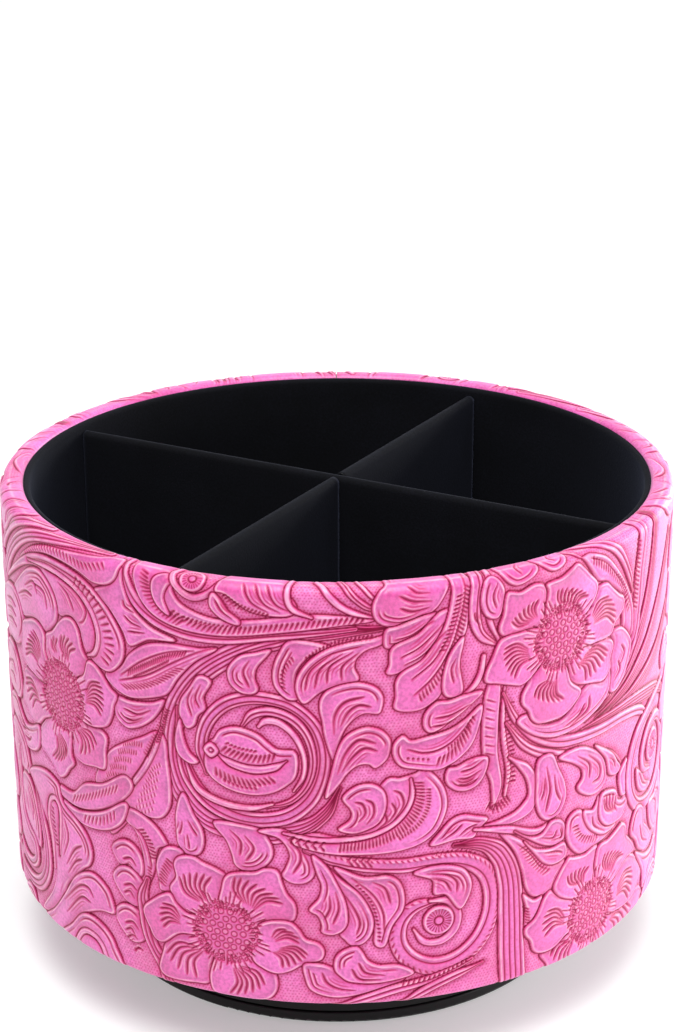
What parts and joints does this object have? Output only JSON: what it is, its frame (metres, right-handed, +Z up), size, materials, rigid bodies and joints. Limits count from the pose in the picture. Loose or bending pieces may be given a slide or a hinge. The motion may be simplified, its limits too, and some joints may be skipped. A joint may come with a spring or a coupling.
{
  "type": "rotating pen holder",
  "caption": "Round rotating pen holder: an embossed leather drum with velvet-lined quarter compartments on a low ball-bearing turntable base.",
  "frame": {"origin": "on the table, at the centre of the base, on the axis that the drum turns about", "axes": "+Z up along the turning axis, +X along the main divider, +Y along the cross divider"},
  "size_m": [0.174, 0.174, 0.1284],
  "materials": {
    "embossed_leather": "tooled relief, satin, darker in the cuts",
    "black_velvet": "short napped velvet",
    "grey_board": "raw rolled board",
    "black_card": "matt coated card",
    "fibre_board": "raw fibre board",
    "black_plastic": "fine moulded texture",
    "cage_plastic": "natural moulded plastic",
    "bright_steel": "polished bearing steel",
    "zinc_steel": "zinc plated",
    "foot_rubber": "matt rubber"
  },
  "bodies": {
    "base": {"base_plate": "black_plastic", "rubber_feet": "foot_rubber", "pivot_bolt": "zinc_steel", "pivot_washer": "zinc_steel", "lock_nut": "zinc_steel"},
    "ball_ring": {"ball_cage": "cage_plastic", "bearing_balls": "bright_steel"},
    "drum": {"leather_wrap": "embossed_leather", "drum_tube": "grey_board", "lining_card": "black_card", "lining_velvet": "black_velvet", "floor_board": "fibre_board", "floor_velvet": "black_velvet", "bottom_cover": "black_card", "divider_main_board": "grey_board", "divider_main_velvet": "black_velvet", "divider_cross_board": "grey_board", "divider_cross_velvet": "black_velvet", "turntable_top": "black_plastic", "turntable_screws": "zinc_steel"}
  },
  "joints": [
    {"name": "drum_spin", "type": "hinge", "parent": "base", "child": "drum", "pos_m": [0, 0, 0], "axis": [0, 0, 1], "continuous": true},
    {"name": "cage_spin", "type": "hinge", "parent": "base", "child": "ball_ring", "pos_m": [0, 0, 0], "axis": [0, 0, 1], "continuous": true}
  ],
  "couplings": [
    {"joint": "cage_spin", "follows": "drum_spin", "ratio": 0.5}
  ]
}
